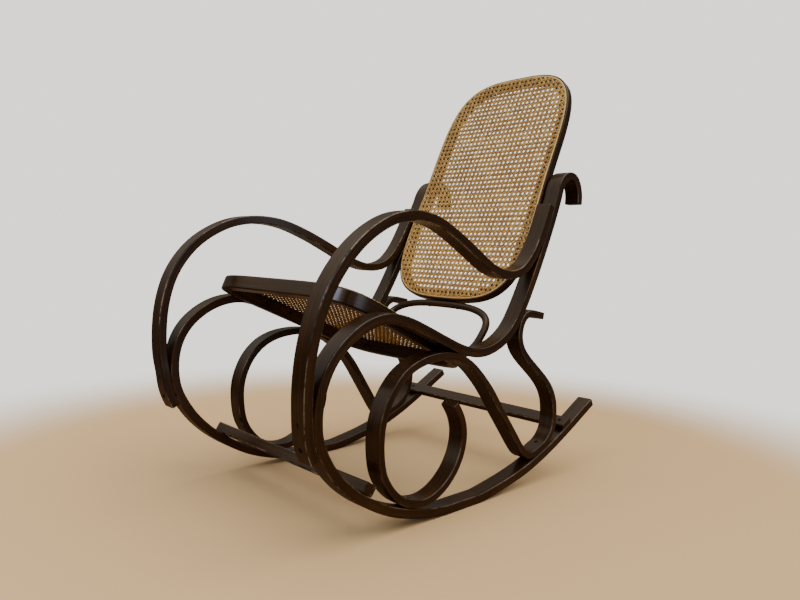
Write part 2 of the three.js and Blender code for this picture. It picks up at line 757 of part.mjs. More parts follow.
// Screws from a ring's inner wall into the strip beside it
function addRingScrews(name, ring, path, plane, halfLength, wall, depth, shares) {
  shares.forEach((share, i) => {
    const middle = plane.at(0, share * halfLength, depth / 2);
    const beside = nearestOn(bow, middle).foot;
    const place = middle.clone().add(beside).divideScalar(2);
    const local = place.clone().sub(plane.at(0, 0, 0));
    const s = local.dot(plane.along);
    const inner = inset(path, wall);
    const k = inner.findIndex((point, j) => {
      const next = inner[(j + 1) % inner.length];
      return point.x > 0 && (point.y - s) * (next.y - s) <= 0;
    });
    const [a, b] = [inner[k], inner[(k + 1) % inner.length]];
    const x = a.x + ((b.x - a.x) * (s - a.y)) / (b.y - a.y);
    const head = place.clone().setX(x);
    const outward = new THREE.Vector3(-1, 0, 0);
    const length = wall + CLEARANCE + SCREW_SIDE_BITE;
    addScrewPair(`${name}_${i + 1}`, head, outward, length, ['main_bow'], [ring]);
  });
}

addRingScrews(
  'seat_ring_screw', 'seat_ring', seatPath, seatPlane,
  SEAT_HALF_LENGTH, SEAT_WALL, SEAT_RING_HEIGHT, SEAT_SCREW_SHARES,
);
addRingScrews(
  'back_ring_screw', 'back_ring', backPath, backRear,
  BACK_HALF_HEIGHT, BACK_WALL, BACK_RING_DEPTH, BACK_SCREW_SHARES,
);

// The hoop stands behind the seat ring and carries the bottom of the back ring
const hoopRadius = HOOP_DIAMETER / 2;
const hoopReach = hoopRadius + CLEARANCE;
const hoopFoot = seatPlane.at(0, SEAT_HALF_LENGTH + hoopReach, HOOP_FOOT_SHARE * SEAT_RING_HEIGHT);
const hoopHead = backRear.at(0, -BACK_HALF_HEIGHT - hoopReach, HOOP_HEAD_SHARE * BACK_RING_DEPTH);
const hoopPlane = planeOf(
  hoopFoot.clone().add(hoopHead).divideScalar(2),
  hoopHead.clone().sub(hoopFoot).normalize(),
);
const hoopHalfLength = hoopHead.distanceTo(hoopFoot) / 2;
const hoopPath = ovalPath(HOOP_HALF_WIDTH, hoopHalfLength, HOOP_EXPONENT, [0, 0], HOOP_STATIONS);
const hoopSection = Array.from({ length: HOOP_SIDES }, (_, i) => {
  const angle = (2 * Math.PI * i) / HOOP_SIDES;
  return [hoopRadius * Math.cos(angle), hoopRadius * Math.sin(angle)];
});
addPiece('back_hoop', ringGeometry(hoopPath, hoopSection, hoopPlane), wood);

const hoopScrewX = HOOP_SCREW_SHARE * HOOP_HALF_WIDTH;
const hoopScrewLength = HOOP_DIAMETER + CLEARANCE + SCREW_BITE;
addScrewPair(
  'hoop_foot_screw',
  hoopFoot.clone().setX(hoopScrewX).addScaledVector(seatPlane.along, hoopRadius),
  seatPlane.along,
  hoopScrewLength,
  [],
  ['back_hoop', 'seat_ring'],
);
addScrewPair(
  'hoop_head_screw',
  hoopHead.clone().setX(hoopScrewX).addScaledVector(backRear.along, -hoopRadius),
  backRear.along.clone().negate(),
  hoopScrewLength,
  [],
  ['back_hoop', 'back_ring'],
);

solids.forEach((geometry, name) => {
  const cutters = cuts.get(name);
  addMesh(name, cutters ? bored(geometry, cutters) : geometry, materials.get(name));
});

// The origin is under the middle of the chair, on the floor
chair.updateMatrixWorld(true);
const box = new THREE.Box3().setFromObject(chair);
chair.position.set(0, -(box.min.y + box.max.y) / 2, -box.min.z);
chair.updateMatrixWorld(true);

export default chair;
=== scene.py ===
"""Bentwood rocking chair: the looks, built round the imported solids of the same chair.

Metres, +Z up, the sitter faces -Y. Every bent piece is a profile carried along a curve.
"""

import math

import bpy
import numpy as np
from mathutils import Matrix


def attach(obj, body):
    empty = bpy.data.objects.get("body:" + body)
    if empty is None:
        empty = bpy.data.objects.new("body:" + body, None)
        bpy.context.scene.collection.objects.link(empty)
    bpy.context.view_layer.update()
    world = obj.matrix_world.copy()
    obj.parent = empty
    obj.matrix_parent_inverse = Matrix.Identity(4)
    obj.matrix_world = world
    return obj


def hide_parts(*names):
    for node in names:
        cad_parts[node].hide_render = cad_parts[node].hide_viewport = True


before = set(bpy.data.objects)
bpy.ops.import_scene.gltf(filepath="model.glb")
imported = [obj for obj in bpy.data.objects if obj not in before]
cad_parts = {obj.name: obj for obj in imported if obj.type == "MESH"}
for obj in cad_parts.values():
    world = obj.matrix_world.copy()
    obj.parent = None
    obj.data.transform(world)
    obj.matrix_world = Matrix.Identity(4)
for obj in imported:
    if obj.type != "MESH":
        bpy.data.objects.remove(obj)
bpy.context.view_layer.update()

# Sizes of the chair

SIDE_LENGTH = 0.8
SIDE_HEIGHT = 0.673
HALF_WIDTH = 0.270
FLOOR_POINT = -0.02995  # where the side profile counts from, along Y
STRIP_WIDTH = 0.036
HALF_STRIP = np.array([STRIP_WIDTH / 2, 0, 0])
BOW_THICKNESS = 0.018
ARM_THICKNESS = 0.018
SCROLL_THICKNESS = 0.015
STRIP_EDGE = 0.0024
END_EDGE = 0.0018
END_ROWS = 5  # sections that round over the end of a strip
CLEARANCE = 0.0003
PATH_STEP = 0.005
ARM_STEP = 0.002
BOW_FINE = (1800, 6)  # points on the fine curve, and the spread of its easing in points
ARM_FINE = (900, 4)
SCROLL_FINE = (1500, 5)

SEAT_TILT = math.radians(24.2)
SEAT_HALF_LENGTH = 0.203
SEAT_HEIGHT = 0.028
SEAT_WALL = 0.021
SEAT_EXPONENT = 5.3
SEAT_FLARE = (-0.118, 0.02)
SEAT_CENTRE = (-0.136, 0.489)  # shares of SIDE_LENGTH and SIDE_HEIGHT
SEAT_BESIDE = (-0.62, 0.3)  # the stretch between the side frames, as shares of the half-length
SEAT_SCREWS = (-0.34, -0.04)

BACK_RAKE = math.radians(25.17)
BACK_HALF_HEIGHT = 0.303
BACK_DEPTH = 0.0205
BACK_WALL = 0.024
BACK_EXPONENT = 3.2
BACK_FLARE = (-0.036, 0.17)
BACK_CENTRE = (0.387, 0.9727)
BACK_BESIDE = (-0.8, 0.08)
BACK_SCREWS = (-0.4, -0.1)

RING_EDGE = 0.003
RING_STEP = 0.004
OUTLINE_POINTS = 2400  # on a ring's outline before it is divided evenly
GROOVE_INSET = 0.0036
GROOVE_DEPTH = 0.0044
SPLINE_WIDTH = 0.0045
SPLINE_HEIGHT = 0.0053
GROOVE_END = GROOVE_INSET + SPLINE_WIDTH + 2 * CLEARANCE

HOOP_HALF_WIDTH = 0.156
HOOP_RADIUS = 0.008
HOOP_EXPONENT = 3.0
HOOP_FOOT = 0.62  # how far up the seat ring's wall it touches, as a share of the wall
HOOP_HEAD = 0.5
HOOP_SCREW = 0.28  # share of the hoop's half-width
HOOP_STEP = 0.003
HOOP_SIDES = 20

FRONT_BAR = (0.271, 0.025, 0.021)  # share of the bow, width, thickness
REAR_BAR = (0.024, 0.031, 0.013)
BAR_END_EDGE = 0.001
BAR_SECTIONS = 120

MESH = 0.0127  # the weave repeats every half inch
STRAND = 0.003  # width of the paired strands
BINDER = 0.0034  # width of the slanting ones
PAIR_GAP = 0.0019  # middle of a pair of strands to the middle of each
CANE_CROWN = 0.0008
CANE_SHOULDER = 0.34  # half-width of a strand's crown, as a share of its width
WAVE = 0.00033  # how far a paired strand rises and dips
BINDER_WAVE = 0.0008
NET_INSET = GROOVE_END - 0.001  # from the ring's outline to the ends of the strands
NET_LIFT = 0.0009  # of the weave's middle above the ring's face
STRAND_END = -0.0004  # height of a strand's two ends, tucked under the spline
SHORTEST = 0.012  # a strand shorter than this is left out
PAINTED_FOOT_SHADE = 0.3  # painted shade darkens the foot of each strand to this share of its tone
SEAT_SAG, BACK_SAG = -0.003, 0.004  # the seat's net arches up a little, the back's is hollowed
SEAT_WIDER, BACK_WIDER = 1.0, 1.08  # how much wider the strands are drawn

SCREW_RADIUS = 0.0046
SCREW_SINK = 0.003
SCREW_PROUD = 0.0001
SCREW_DOME = 0.0009
SCREW_TAPER = 0.45  # the sunk end's radius over the head's
SLOT_DEPTH = 0.0008
SLOT = 0.17  # half-width of the slot, as a share of the head's radius

EDGE_FADE = 0.0012  # the attribute "edge" falls to 1 / e at this distance from an edge
FAR_FROM_EDGE = 0.01  # a distance from the edge at which no pale edge line, of wear and painted highlight, is left
LESS_EDGE_LINE = 0.0005  # hands rub the arms most and the painted edge highlight goes with the wear, so the other strips count as further from an edge
ACROSS_CHAIR = np.array([-1.0, 1, 1])

# Side profile, as shares of length, height and half-width: rearward, up, outward
BOW = np.array([
    (0.537, 0.221, 0.944), (0.421, 0.149, 0.939), (0.329, 0.097, 0.934), (0.244, 0.059, 0.929),
    (0.164, 0.035, 0.923), (0.096, 0.0205, 0.919), (0.056, 0.0134, 0.916), (-0.054, 0.0134, 0.912),
    (-0.119, 0.022, 0.911), (-0.182, 0.039, 0.911), (-0.241, 0.063, 0.914), (-0.299, 0.099, 0.919),
    (-0.356, 0.146, 0.929), (-0.401, 0.199, 0.94), (-0.432, 0.254, 0.953), (-0.448, 0.3, 0.963),
    (-0.453, 0.345, 0.972), (-0.451, 0.389, 0.98), (-0.441, 0.435, 0.986), (-0.42, 0.48, 0.988),
    (-0.385, 0.52, 0.987), (-0.334, 0.553, 0.979), (-0.275, 0.566, 0.964), (-0.21, 0.552, 0.943),
    (-0.141, 0.521, 0.921), (-0.068, 0.484, 0.903), (-0.007, 0.456, 0.89), (0.051, 0.441, 0.88),
    (0.106, 0.447, 0.873), (0.156, 0.47, 0.868), (0.196, 0.505, 0.863), (0.231, 0.562, 0.861),
    (0.271, 0.642, 0.858), (0.31, 0.73, 0.855), (0.349, 0.822, 0.849), (0.384, 0.911, 0.84),
    (0.398, 0.951, 0.835), (0.418, 0.977, 0.828), (0.447, 0.987, 0.822), (0.473, 0.981, 0.817),
    (0.49, 0.958, 0.816), (0.496, 0.929, 0.818), (0.495, 0.897, 0.82),
])
ARM = np.array([
    (-0.481, 0.392, 0.99), (-0.482, 0.431, 0.999), (-0.48, 0.483, 1.01), (-0.474, 0.535, 1.022),
    (-0.463, 0.588, 1.032), (-0.445, 0.642, 1.041), (-0.417, 0.694, 1.046), (-0.38, 0.741, 1.044),
    (-0.333, 0.78, 1.034), (-0.274, 0.81, 1.017), (-0.204, 0.821, 0.989), (-0.133, 0.811, 0.958),
    (-0.054, 0.776, 0.924), (0.029, 0.727, 0.893), (0.101, 0.683, 0.874), (0.168, 0.664, 0.863),
    (0.229, 0.678, 0.858), (0.272, 0.722, 0.856),
])
SCROLL = np.array([
    (-0.032, 0.305, 0.888), (-0.009, 0.263, 0.888), (0, 0.217, 0.891), (-0.01, 0.16, 0.895),
    (-0.04, 0.11, 0.901), (-0.085, 0.074, 0.905), (-0.136, 0.061, 0.907), (-0.188, 0.073, 0.909),
    (-0.233, 0.108, 0.911), (-0.263, 0.159, 0.914), (-0.274, 0.223, 0.917), (-0.273, 0.282, 0.92),
    (-0.261, 0.331, 0.921), (-0.239, 0.376, 0.921), (-0.204, 0.415, 0.917), (-0.159, 0.438, 0.912),
    (-0.106, 0.447, 0.904), (-0.056, 0.444, 0.896), (-0.019, 0.433, 0.889), (0.025, 0.406, 0.882),
    (0.059, 0.374, 0.879), (0.101, 0.322, 0.88), (0.144, 0.251, 0.887), (0.19, 0.174, 0.902),
    (0.2175, 0.128, 0.911), (0.234, 0.106, 0.917), (0.25, 0.0966, 0.921), (0.27, 0.0981, 0.925),
    (0.294, 0.1085, 0.927), (0.315, 0.118, 0.928), (0.335, 0.134, 0.927), (0.351, 0.1575, 0.924),
    (0.361, 0.19, 0.918), (0.363, 0.208, 0.914), (0.363, 0.247, 0.906), (0.351, 0.288, 0.896),
    (0.326, 0.325, 0.886), (0.289, 0.364, 0.877), (0.25, 0.404, 0.871), (0.228, 0.435, 0.868),
    (0.219, 0.464, 0.865), (0.219, 0.489, 0.863), (0.228, 0.517, 0.861), (0.244, 0.535, 0.858),
    (0.266, 0.542, 0.857), (0.294, 0.537, 0.856), (0.323, 0.53, 0.856),
])
# Shares of the bow's curve where the arm lies on it, and of the screws there
ARM_FOOT = (0.335, 0.381)
ARM_END = (0.8, 0.823)
FOOT_SCREWS = (0.351, 0.377)
END_SCREW = 0.813
# Shares of the scroll's curve between which it is sprung against the bow and screwed to it
SCROLL_SEATS = (
    ("scroll_front_screw", 0.065, 0.196),
    ("scroll_rail_screw", 0.326, 0.457),
    ("scroll_rear_screw", 0.52, 0.675),
    ("scroll_stile_screw", 0.804, 0.978),
)


# Curves

def unit(vectors):
    """Vectors over their own lengths."""
    return vectors / np.linalg.norm(vectors, axis=-1, keepdims=True)


def placed(shares):
    """Shares of length, height and half-width to points (x, y, z) in metres."""
    rearward, up, outward_share = shares.T
    across, along = outward_share * HALF_WIDTH, rearward * SIDE_LENGTH + FLOOR_POINT
    return np.stack([across, along, up * SIDE_HEIGHT], 1)


def through(points, shares):
    """Points at the given shares of a bent strip's curve through listed points.

    Between two points the curve is a cubic whose end slopes come from the neighbours on both
    sides, with the square roots of the distances between points as its spacing.
    """
    ends = np.vstack([2 * points[:1] - points[1:2], points, 2 * points[-1:] - points[-2:-1]])
    place = np.clip(np.asarray(shares, float), 0, 1) * (len(points) - 1)
    span = np.minimum(place.astype(int), len(points) - 2)
    t = (place - span)[:, None]
    p0, p1, p2, p3 = (ends[span + k] for k in range(4))
    d0, d1, d2 = (
        np.sqrt(np.linalg.norm(b - a, axis=1))[:, None] for a, b in ((p0, p1), (p1, p2), (p2, p3))
    )
    slope1 = ((p1 - p0) / d0 - (p2 - p0) / (d0 + d1) + (p2 - p1) / d1) * d1
    slope2 = ((p2 - p1) / d1 - (p3 - p1) / (d1 + d2) + (p3 - p2) / d2) * d1
    square = 3 * (p2 - p1) - 2 * slope1 - slope2
    cube = 2 * (p1 - p2) + slope1 + slope2
    return p1 + t * (slope1 + t * (square + t * cube))


def lengths(path):
    """Length along a path to each of its points."""
    return np.concatenate([[0], np.cumsum(np.linalg.norm(np.diff(path, axis=0), axis=1))])


def evenly(path, step, closed=False):
    """The same path with points at even lengths; a closed one doesn't repeat its first point."""
    if closed:
        path = np.vstack([path, path[:1]])
    run = lengths(path)
    count = int(round(run[-1] / step))
    places = np.linspace(0, run[-1], count + 1)
    if closed:
        places = places[:-1]
    return np.stack([np.interp(places, run, column) for column in path.T], 1)


def eased(path, spread):
    """The path averaged over a bell-shaped window, `spread` points wide. Its ends stay put."""
    reach = 3 * spread
    weights = np.exp(-0.5 * (np.arange(-reach, reach + 1) / spread) ** 2)
    weights = weights / weights.sum()
    before = 2 * path[0] - path[1 : reach + 1][::-1]
    after = 2 * path[-1] - path[-reach - 1 : -1][::-1]
    padded = np.vstack([before, path, after])
    return np.stack([np.convolve(column, weights, "valid") for column in padded.T], 1)


def side_normals(path):
    """Normals in the side view: the direction along the path turned a quarter turn about X."""
    along = np.gradient(path, axis=0)
    along[:, 0] = 0
    along = unit(along)
    return np.stack([np.zeros(len(path)), -along[:, 2], along[:, 1]], 1)


def nearest(path, point):
    """Nearest place on a path in the side view: distance, place, and the direction away from it."""
    flat, target = path[:, 1:], point[1:]
    steps = np.diff(flat, axis=0)
    t = np.clip(((target - flat[:-1]) * steps).sum(1) / (steps**2).sum(1), 0, 1)
    feet = flat[:-1] + t[:, None] * steps
    gaps = np.linalg.norm(target - feet, axis=1)
    k = int(gaps.argmin())
    x = path[k, 0] + t[k] * (path[k + 1, 0] - path[k, 0])
    away = (target - feet[k]) / gaps[k]
    return gaps[k], np.array([x, *feet[k]]), np.array([0, *away])


def seated(path, shares, other, reach, window):
    """A strip's path sprung against another strip, until their middle lines are `reach` apart.

    The move is largest in the middle of the window of shares and fades to its ends as a sine
    squared. A few rounds close the gap. Gives the path and the place and direction of the contact.
    """
    weight = np.clip((shares - window[0]) / (window[1] - window[0]), 0, 1)
    weight = np.sin(math.pi * weight) ** 2
    inside = np.flatnonzero(weight > 0.02)
    for _ in range(8):
        apart = np.linalg.norm(path[inside, None, 1:] - other[None, :, 1:], axis=2).min(1)
        k = inside[int(apart.argmin())]
        gap, _, away = nearest(other, path[k])
        path = path + (reach - gap) * weight[:, None] / max(weight[k], 0.4) * away
    return path, path[k], away


def bow_path():
    """The bow's middle line with its outer face in x; the rocker rests on its flat stretch."""
    count, spread = BOW_FINE
    shares = np.linspace(0, 1, count)
    path = eased(through(placed(BOW), shares), spread)
    path[:, 2] = np.maximum(path[:, 2], BOW_THICKNESS / 2)
    return path, shares


bow_fine, bow_shares = bow_path()


def on_bow(share):
    """Middle of the bow's section at a share of its curve, and the way out of its outer face."""
    k = int(np.searchsorted(bow_shares, share))
    return bow_fine[k] - HALF_STRIP, side_normals(bow_fine)[k]


def stretch(shares):
    """The bow's points between two shares, moved out by one lamination."""
    outer = bow_fine + side_normals(bow_fine) * (BOW_THICKNESS / 2 + ARM_THICKNESS / 2 + CLEARANCE)
    return outer[(bow_shares >= shares[0]) & (bow_shares <= shares[1])]


def arm_path():
    """The arm lies on the bow's front, rises freely over the seat and ends on the stile's front."""
    foot, end = (evenly(stretch(shares), PATH_STEP) for shares in (ARM_FOOT, ARM_END))
    lead = 7  # points from the free curve's ends to those that give it its direction there
    before, after = foot[[-1 - lead, -1]], end[[0, lead]]
    points = np.vstack([before, placed(ARM), after])
    steps = len(points) - 1
    count, spread = ARM_FINE
    free = through(points, np.linspace(1 / steps, (steps - 1) / steps, count))
    return eased(evenly(np.vstack([foot[:-1], free, end[1:]]), ARM_STEP), spread)


arm_fine = arm_path()
scroll_shares = np.linspace(0, 1, SCROLL_FINE[0])
scroll_fine = eased(through(placed(SCROLL), scroll_shares), SCROLL_FINE[1])
scroll_reach = (BOW_THICKNESS + SCROLL_THICKNESS) / 2 + CLEARANCE
scroll_contacts = []
for seat_name, *window in SCROLL_SEATS:
    scroll_fine, touch, out = seated(scroll_fine, scroll_shares, bow_fine, scroll_reach, window)
    scroll_contacts.append((seat_name, touch, out))


# Surfaces

def rounded(corners, radii):
    """A closed profile with rounded corners: its points, and how far each is from the nearest edge.

    Each corner is an arc that touches both sides, and long flats carry points near the arcs.
    An arc's own points lie r * |angle - 45 degrees| from its middle, which is the edge.
    """
    steps, long_flat, near_arc, off_arc = 4, 0.006, 0.0008, 0.0022
    corners, out, near = np.asarray(corners, float), [], []
    for i, (p, r) in enumerate(zip(corners, radii)):
        after, after_r = corners[(i + 1) % len(corners)], radii[(i + 1) % len(corners)]
        a, b = unit(corners[i - 1] - p), unit(after - p)
        angles = np.linspace(0, math.pi / 2, steps + 1)[:, None] if r > 0 else np.array([[0.0]])
        out.append(p + (a + b) * r - b * r * np.cos(angles) - a * r * np.sin(angles))
        near.append(r * np.abs(angles[:, 0] - math.pi / 4))
        left = np.linalg.norm(after - p) - r - after_r
        if left > long_flat:
            places = np.array([near_arc, off_arc, left / 2, left - off_arc, left - near_arc])
            out.append(p + b * (r + places[:, None]))
            from_last, to_next = places + r * math.pi / 4, left - places + after_r * math.pi / 4
            near.append(np.minimum(from_last, to_next))
    return np.vstack(out), np.concatenate(near)


def between_rows(rows, columns, looped):
    """Quads of a grid of points, row after row. Each row closes on itself, and if looped, so does
    the column of rows."""
    row = np.arange(rows if looped else rows - 1)[:, None]
    column = np.arange(columns)[None]
    after, beside = (row + 1) % rows * columns, (column + 1) % columns
    corners = [row * columns + column, row * columns + beside, after + beside, after + column]
    return np.stack(np.broadcast_arrays(*corners), -1).reshape(-1, 4)


def swept(path, across, up, profile, near, edge=None):
    """A profile carried along a path: every point is path + across * u + up * v.

    Without an edge the path closes on itself. With one, both ends are closed and rounded over:
    at angle t the section stands edge * (1 - sin t) from the end and is drawn in by
    edge * (1 - cos t). Gives points, quads, triangles, straightened coordinates and distances
    from the nearest edge.
    """
    inset = np.zeros(len(path))
    triangles = np.zeros((0, 3), int)
    if edge is not None:
        run = lengths(path)
        kept = np.flatnonzero((run > edge) & (run < run[-1] - edge))
        turn = np.linspace(math.pi / 2, 0, END_ROWS)
        back, inset = edge * (1 - np.sin(turn))[:, None], edge * (1 - np.cos(turn))
        first, last = unit(path[1] - path[0]), unit(path[-1] - path[-2])
        places = np.concatenate([[0] * END_ROWS, kept, [-1] * END_ROWS])
        path, across, up = path[places], across[places], up[places]
        path[:END_ROWS] += first * back
        path[-END_ROWS:] -= last * back[::-1]
        inset = np.concatenate([inset, np.zeros(len(kept)), inset[::-1]])
    middle = profile.mean(0)
    scale = 1 - inset[:, None] / np.abs(profile - middle).max(0)
    section = middle + (profile - middle)[None] * scale[:, None]
    points = path[:, None] + across[:, None] * section[..., :1] + up[:, None] * section[..., 1:]
    rows, columns = section.shape[:2]
    travelled = np.broadcast_to(lengths(path)[:, None, None], (rows, columns, 1))
    grain = np.concatenate([travelled, section], 2).reshape(-1, 3)
    near = np.broadcast_to(near, (rows, columns)).copy()
    quads = between_rows(rows, columns, edge is None)
    if edge is None:
        return points.reshape(-1, 3), quads, triangles, grain, near.ravel()
    near[[END_ROWS // 2, -1 - END_ROWS // 2]] = 0  # the middle of each rounding is an edge
    j = np.arange(columns)
    k = (j + 1) % columns
    end, top = rows * columns, (rows - 1) * columns
    triangles = np.vstack([
        np.stack([np.full(columns, end), k, j], 1),
        np.stack([np.full(columns, end + 1), top + j, top + k], 1),
    ])
    points = np.vstack([points.reshape(-1, 3), points[0].mean(0), points[-1].mean(0)])
    grain = np.vstack([grain, grain[j].mean(0), grain[top + j].mean(0)])
    return points, quads, triangles, grain, np.concatenate([near.ravel(), [FAR_FROM_EDGE, FAR_FROM_EDGE]])


def outward(points, quads, triangles):
    """The faces, turned round if the signed volume under them says that they point inwards."""
    corners = points[np.vstack([triangles, quads[:, :3], quads[:, [0, 2, 3]]])]
    volume = (corners[:, 0] * np.cross(corners[:, 1], corners[:, 2])).sum()
    turn = 1 if volume > 0 else -1
    return quads[:, ::turn].tolist() + triangles[:, ::turn].tolist()


def put_in_scene(name, data):
    """An object of the scene that holds the given mesh, light or camera."""
    obj = bpy.data.objects.new(name, data)
    bpy.context.scene.collection.objects.link(obj)
    return obj


def piece(name, shape, material, nodes, start=0.0):
    """Makes a shape an object that stands for CAD nodes, its grain starting at a place of its own.

    The attribute "grain" holds the straightened coordinates in metres, and "edge" is
    exp(-distance / EDGE_FADE) from the nearest edge, or on cane the tone of the strand
    darkened by painted shade at its foot.
    """
    points, quads, triangles, grain, near = shape
    mesh = bpy.data.meshes.new(name)
    mesh.from_pydata(points.tolist(), [], outward(points, quads, triangles))
    mesh.shade_smooth()
    grain = grain + np.array([start, 0, 0])
    attribute = mesh.attributes.new("grain", "FLOAT_VECTOR", "POINT")
    attribute.data.foreach_set("vector", grain.astype(np.float32).ravel())
    attribute = mesh.attributes.new("edge", "FLOAT", "POINT")
    attribute.data.foreach_set("value", np.exp(-near / EDGE_FADE).astype(np.float32))
    mesh.materials.append(material)
    obj = put_in_scene(name, mesh)
    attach(obj, "root")
    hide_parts(*nodes)


# Materials

def colour(text):
    """An sRGB hex colour as linear red, green, blue and a full alpha."""
    values = [int(text[k : k + 2], 16) / 255 for k in (1, 3, 5)]
    return (*[v / 12.92 if v <= 0.04045 else ((v + 0.055) / 1.055) ** 2.4 for v in values], 1)


def grey(value):
    """The same linear value in red, green and blue."""
    return (value, value, value, 1)


def add(tree, kind, settings=None, links=None):
    """Adds a shader node. Settings name its sockets, by name or number, or its own options, and
    links name the sockets to feed."""
    node = tree.nodes.new("ShaderNode" + kind)
    for key, value in (settings or {}).items():
        if key == "stops":
            ramp = node.color_ramp
            while len(ramp.elements) < len(value):
                ramp.elements.new(0.5)
            for element, (place, shade) in zip(ramp.elements, value):
                element.position = place
                element.color = shade
        elif isinstance(key, int) or key in node.inputs:
            node.inputs[key].default_value = value
        else:
            setattr(node, key, value)
    for key, socket in (links or {}).items():
        tree.links.new(socket, node.inputs[key])
    return node


def new_material(name):
    """An empty material: itself and its tree."""
    material = bpy.data.materials.new(name)
    material.use_nodes = True
    material.node_tree.nodes.clear()
    return material, material.node_tree


def stained_beech():
    """Steam-bent beech, turned dark by walnut stain and shiny by gloss varnish. The eye gets a
    near-black red brown with streaks of growth rings along the strip, fine dark pores, soft
    reflections of the room that break up a little where the varnish is uneven, and here and
    there a pale line along an edge, partly bare wood where the edge is rubbed through and
    partly a painted highlight on the edge."""
    material, tree = new_material("walnut_stained_beech")
    grain = add(tree, "Attribute", {"attribute_name": "grain"}).outputs["Vector"]
    edge = add(tree, "Attribute", {"attribute_name": "edge"}).outputs["Fac"]
    # Growth rings seen on edge: streaks about 6 mm wide and 200 mm long
    along = add(tree, "Mapping", {"Scale": (5, 160, 160)}, {"Vector": grain})
    rings = add(tree, "TexNoise", {"Scale": 1, "Detail": 5, "Roughness": 0.62, "Distortion": 0.5},
                {"Vector": along.outputs[0]})
    # Thicker and thinner stain, in patches a hand wide
    patches = add(tree, "TexNoise", {"Scale": 8, "Detail": 3, "Roughness": 0.55}, {"Vector": grain})
    tone = add(tree, "Mix", {"data_type": "FLOAT", 0: 0.25}, {
        2: rings.outputs["Fac"], 3: patches.outputs["Fac"],
    })
    wood = add(tree, "ValToRGB", {"stops": [
        (0.36, colour("#1b0e01")), (0.48, colour("#281502")),
        (0.58, colour("#331b03")), (0.7, colour("#442607")),
    ]}, {"Fac": tone.outputs[0]})
    # Pores and rays, drawn about 0.8 mm wide and 12 mm long, coarser than in beech, to show
    fine = add(tree, "Mapping", {"Scale": (80, 1250, 1250)}, {"Vector": grain})
    pores = add(tree, "TexNoise", {"Scale": 1, "Detail": 3, "Roughness": 0.7},
                {"Vector": fine.outputs[0]})
    dark = add(tree, "ValToRGB", {"stops": [(0.36, grey(0.5)), (0.5, grey(1))]},
               {"Fac": pores.outputs["Fac"]})
    grained = add(tree, "Mix", {"data_type": "RGBA", "blend_type": "MULTIPLY", 0: 0.8}, {
        6: wood.outputs["Color"], 7: dark.outputs["Color"],
    })
    # Pale lines along the edges, partly wood rubbed through and partly painted highlight, in
    # stretches of some 50 mm that break up every few millimetres
    breaks = add(tree, "TexNoise", {"Scale": 55, "Detail": 5, "Roughness": 0.75}, {"Vector": grain})
    stretches = add(tree, "TexNoise", {"Scale": 11, "Detail": 1}, {"Vector": grain})
    rubbed_and_highlit = add(tree, "MapRange", {1: 0.45, 2: 0.54, 3: 0.0, 4: 1.0},
                 {0: stretches.outputs["Fac"]})
    broken_up = add(tree, "MapRange", {1: 0.42, 2: 0.55, 3: 0.0, 4: 0.6}, {0: breaks.outputs["Fac"]})
    bare_and_highlit = add(tree, "Math", {"operation": "MULTIPLY"}, {
        0: rubbed_and_highlit.outputs[0], 1: broken_up.outputs[0],
    })
    corner = add(tree, "Math", {"operation": "POWER", 1: 2.0}, {0: edge})
    wear_and_highlight = add(tree, "Math", {"operation": "MULTIPLY"}, {
        0: bare_and_highlit.outputs[0], 1: corner.outputs[0],
    })
    # the pale grey of the edge lines: partly bare wood, partly a painted highlight
    worn_and_highlit = add(tree, "Mix", {"data_type": "RGBA", 7: colour("#b8a78e")}, {
        0: wear_and_highlight.outputs[0], 6: grained.outputs[2],
    })
    gloss = add(tree, "MapRange", {1: 0.3, 2: 0.7, 3: 0.2, 4: 0.34}, {0: patches.outputs["Fac"]})
    matt = add(tree, "Math", {"operation": "MULTIPLY_ADD", 1: 0.3}, {
        0: wear_and_highlight.outputs[0], 2: gloss.outputs[0],
    })
    bump = add(tree, "Bump", {"Strength": 0.04, "Distance": 0.0004},
               {"Height": pores.outputs["Fac"]})
    surface = add(tree, "BsdfPrincipled", {"IOR": 1.4}, {
        "Base Color": worn_and_highlit.outputs[2], "Roughness": matt.outputs[0], "Normal": bump.outputs[0],
    })
    add(tree, "OutputMaterial", None, {0: surface.outputs[0]})
    return material


